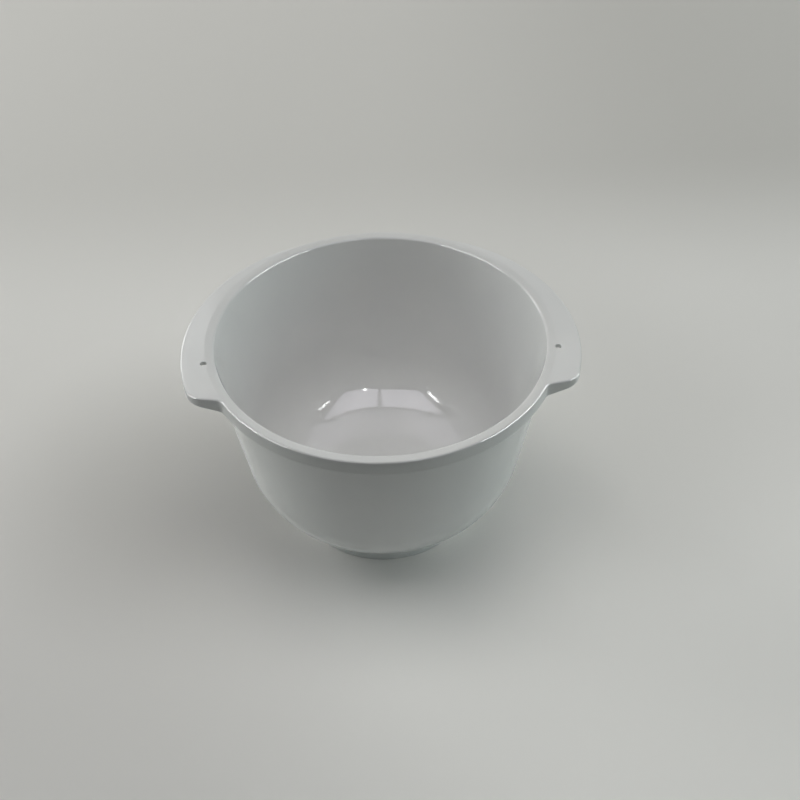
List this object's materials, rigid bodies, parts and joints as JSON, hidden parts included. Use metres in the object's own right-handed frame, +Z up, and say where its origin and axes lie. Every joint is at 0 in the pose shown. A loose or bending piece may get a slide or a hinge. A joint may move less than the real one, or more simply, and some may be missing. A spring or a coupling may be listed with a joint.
{
  "type": "stand mixer bowl",
  "caption": "White moulded plastic mixing bowl with a flat rim, swept side handles, a tapered round-bottomed shell and a foot ring with twist lugs.",
  "frame": {"origin": "centre of the foot ring, on the surface that the bowl stands on", "axes": "+Z up through the mouth; the blunt ends of the handles face -Y, and the handles lie at -X and +X"},
  "size_m": [0.262, 0.234, 0.153],
  "materials": {
    "white_plastic": "moulded white plastic, soft gloss"
  },
  "bodies": {
    "root": {"mixing_bowl": "white_plastic"}
  },
  "joints": []
}
